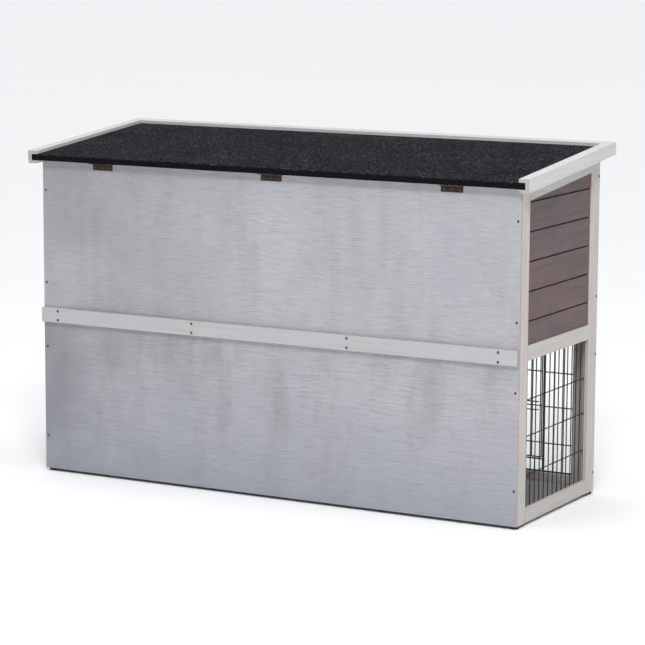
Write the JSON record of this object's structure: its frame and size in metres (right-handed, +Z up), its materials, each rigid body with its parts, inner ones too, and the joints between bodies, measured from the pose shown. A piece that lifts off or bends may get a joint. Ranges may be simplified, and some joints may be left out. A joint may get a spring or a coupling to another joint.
{
  "type": "rabbit hutch",
  "caption": "Two-storey wooden rabbit hutch with a hinged felt pent roof, clad upper cabin with front doors, wire-mesh lower run, tray and ramp.",
  "frame": {"origin": "middle of the bounding box on the ground plane", "axes": "+X to the right along the hutch seen from the front, -Y the front with the doors, +Y the hinged rear of the roof, +Z up"},
  "size_m": [1.46, 0.5399, 0.9208],
  "materials": {
    "frame_wood": "cream-white paint on planed softwood, satin",
    "roof_trim_paint": "white paint on grooved softwood moulding, satin",
    "cladding_wood": "taupe woodstain on boards, matte",
    "white_ply": "thin bluish whitewash over ply with fine horizontal grain, matte",
    "felt": "mineral-faced charcoal bitumen felt, rough",
    "black_wire": "black powder-coated welded wire",
    "bronze": "dark antique bronze",
    "zinc": "zinc-plated steel",
    "black_plastic": "black moulded plastic"
  },
  "bodies": {
    "frame": {"rear_stile_left": "frame_wood", "rear_stile_right": "frame_wood", "front_stile_left": "frame_wood", "front_stile_right": "frame_wood", "side_bottom_rail_left": "frame_wood", "side_bottom_rail_right": "frame_wood", "side_mid_rail_left": "frame_wood", "side_mid_rail_right": "frame_wood", "side_top_rail_left": "frame_wood", "side_top_rail_right": "frame_wood", "side_cladding_left": "cladding_wood", "side_cladding_right": "cladding_wood", "side_mesh_left": "black_wire", "side_mesh_right": "black_wire", "back_panel_upper": "white_ply", "back_panel_lower": "white_ply", "back_batten": "frame_wood", "back_inner_rails": "frame_wood", "front_post_left": "frame_wood", "front_post_right": "frame_wood", "front_top_rail": "frame_wood", "front_door_rail": "frame_wood", "front_apron": "frame_wood", "front_mid_rail": "frame_wood", "front_bottom_rail": "frame_wood", "front_mullion_left": "frame_wood", "front_mullion_right": "frame_wood", "front_center_post": "frame_wood", "front_grid_left": "black_wire", "front_grid_right": "black_wire", "front_mesh_center": "black_wire", "upper_floor": "white_ply", "lower_floor": "white_ply", "nest_partition": "white_ply", "foot_glides": "black_plastic", "frame_screws": "zinc", "roof_hinge_fixed_leaves": "bronze", "door_hinge_fixed_leaves": "bronze", "ramp_rod": "zinc"},
    "roof": {"roof_board": "white_ply", "roof_felt": "felt", "roof_trim_left": "roof_trim_paint", "roof_trim_right": "roof_trim_paint", "roof_trim_front": "roof_trim_paint", "roof_hinge_moving_leaves": "bronze"},
    "door_left": {"door_frame_left": "frame_wood", "door_cladding_left": "cladding_wood", "door_hinge_leaves_left": "bronze"},
    "door_right": {"door_frame_right": "frame_wood", "door_cladding_right": "cladding_wood", "door_hinge_leaves_right": "bronze"},
    "turn_button_left": {"turn_button_left": "frame_wood"},
    "turn_button_right": {"turn_button_right": "frame_wood"},
    "grid_door_left": {"grid_door_left": "black_wire"},
    "grid_door_right": {"grid_door_right": "black_wire"},
    "grid_latch_left": {"grid_latch_left": "black_wire"},
    "grid_latch_right": {"grid_latch_right": "black_wire"},
    "tray": {"tray_front": "frame_wood", "tray_pan": "zinc"},
    "ramp": {"ramp": "white_ply"}
  },
  "joints": [
    {"name": "roof_hinge", "type": "hinge", "parent": "frame", "child": "roof", "pos_m": [0, 0.2474, 0.84226], "axis": [-1, 0, 0], "range_deg": [0, 95]},
    {"name": "door_left_hinge", "type": "hinge", "parent": "frame", "child": "door_left", "pos_m": [-0.64375, -0.2414, 0.6635], "axis": [0, 0, -1], "range_deg": [0, 175]},
    {"name": "turn_button_left_pivot", "type": "hinge", "parent": "frame", "child": "turn_button_left", "pos_m": [-0.2213, -0.2418, 0.6635], "axis": [0, 1, 0], "range_deg": [0, 90]},
    {"name": "grid_door_left_hinge", "type": "hinge", "parent": "frame", "child": "grid_door_left", "pos_m": [-0.165, -0.229, 0.22], "axis": [0, 0, 1], "range_deg": [0, 110]},
    {"name": "grid_latch_left_slide", "type": "slide", "parent": "grid_door_left", "child": "grid_latch_left", "axis": [-1, 0, 0], "range_m": [0, 0.022]},
    {"name": "door_right_hinge", "type": "hinge", "parent": "frame", "child": "door_right", "pos_m": [0.64375, -0.2414, 0.6635], "axis": [0, 0, 1], "range_deg": [0, 175]},
    {"name": "turn_button_right_pivot", "type": "hinge", "parent": "frame", "child": "turn_button_right", "pos_m": [0.2213, -0.2418, 0.6635], "axis": [0, -1, 0], "range_deg": [0, 90]},
    {"name": "grid_door_right_hinge", "type": "hinge", "parent": "frame", "child": "grid_door_right", "pos_m": [0.165, -0.229, 0.22], "axis": [0, 0, -1], "range_deg": [0, 110]},
    {"name": "grid_latch_right_slide", "type": "slide", "parent": "grid_door_right", "child": "grid_latch_right", "axis": [1, 0, 0], "range_m": [0, 0.022]},
    {"name": "tray_slide", "type": "slide", "parent": "frame", "child": "tray", "axis": [0, -1, 0], "range_m": [0, 0.43]},
    {"name": "ramp_hinge", "type": "hinge", "parent": "frame", "child": "ramp", "pos_m": [0.572, 0.11, 0.393], "axis": [0, 1, 0], "range_deg": [0, 38]}
  ]
}
